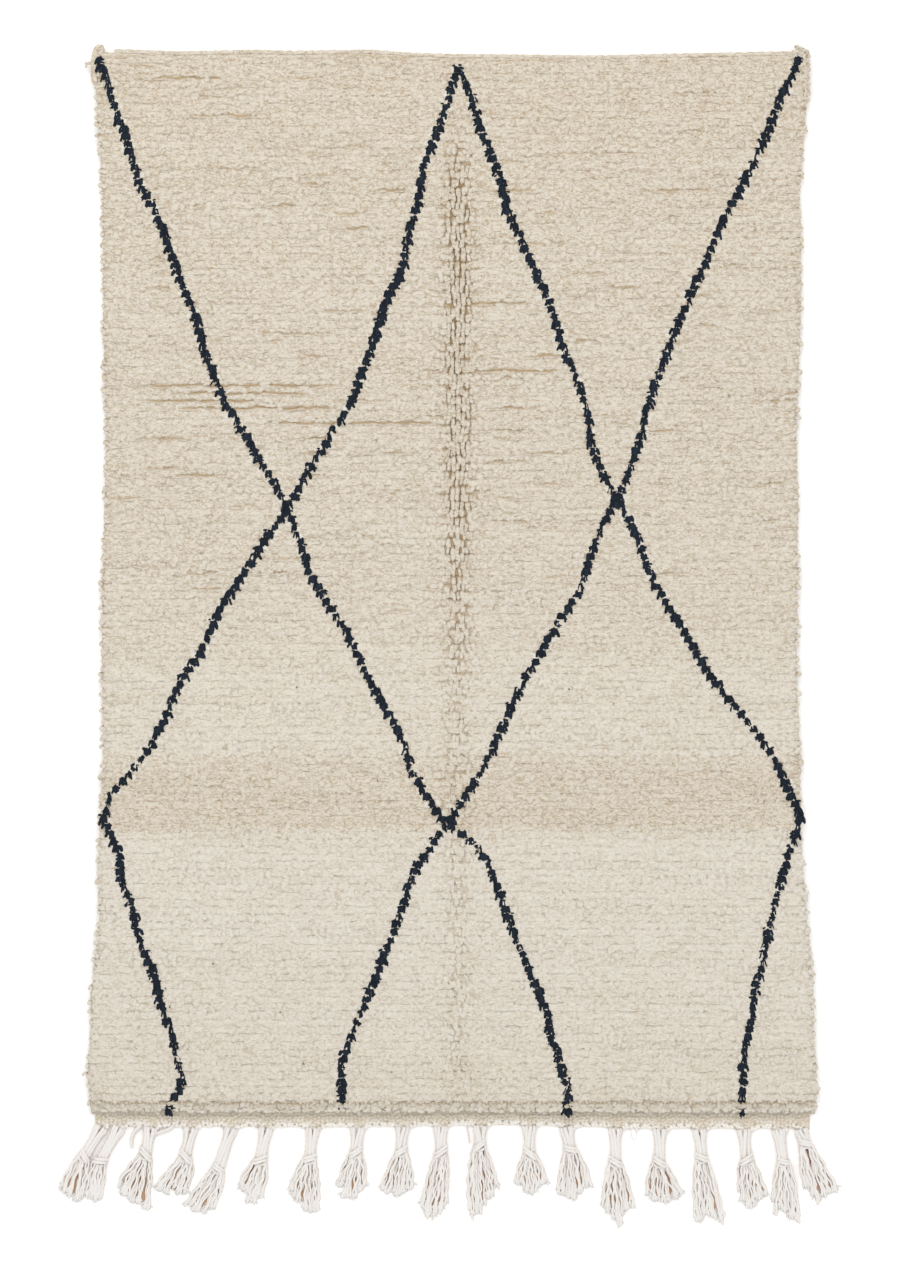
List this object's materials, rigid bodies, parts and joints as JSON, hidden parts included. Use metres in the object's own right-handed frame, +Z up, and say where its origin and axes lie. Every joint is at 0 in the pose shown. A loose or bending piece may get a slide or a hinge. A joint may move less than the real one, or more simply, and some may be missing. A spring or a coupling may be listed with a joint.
{
  "type": "beni ourain rug",
  "caption": "Flat hand-knotted wool rug with a thick cream pile, dark diamond lines, a flat-woven end band and knotted tassels along a short end.",
  "frame": {"origin": "on the flat underside of the knotted cloth, near its middle, at mount underside", "axes": "+X across the rug, +Y along it from the tassels to the plain bound end, +Z up out of the pile"},
  "size_m": [1.0977, 1.6509, 0.0228],
  "materials": {
    "wool_pile": "undyed cream wool pile with navy lines",
    "ground_weave": "plain wool and cotton weave",
    "wool_cord": "twisted cream wool",
    "cotton_cord": "off-white cotton warp cords"
  },
  "bodies": {
    "root": {"pile_field": "wool_pile", "end_band": "ground_weave", "tassel_01": "cotton_cord", "tassel_02": "cotton_cord", "tassel_03": "cotton_cord", "tassel_04": "cotton_cord", "tassel_05": "cotton_cord", "tassel_06": "cotton_cord", "tassel_07": "cotton_cord", "tassel_08": "cotton_cord", "tassel_09": "cotton_cord", "tassel_10": "cotton_cord", "tassel_11": "cotton_cord", "tassel_12": "cotton_cord", "tassel_13": "cotton_cord", "tassel_14": "cotton_cord", "tassel_15": "cotton_cord", "tassel_16": "cotton_cord", "tassel_17": "cotton_cord", "tassel_18": "cotton_cord", "tassel_19": "cotton_cord", "top_binding": "ground_weave", "corner_cord_left": "wool_cord", "corner_cord_right": "wool_cord"}
  },
  "joints": []
}
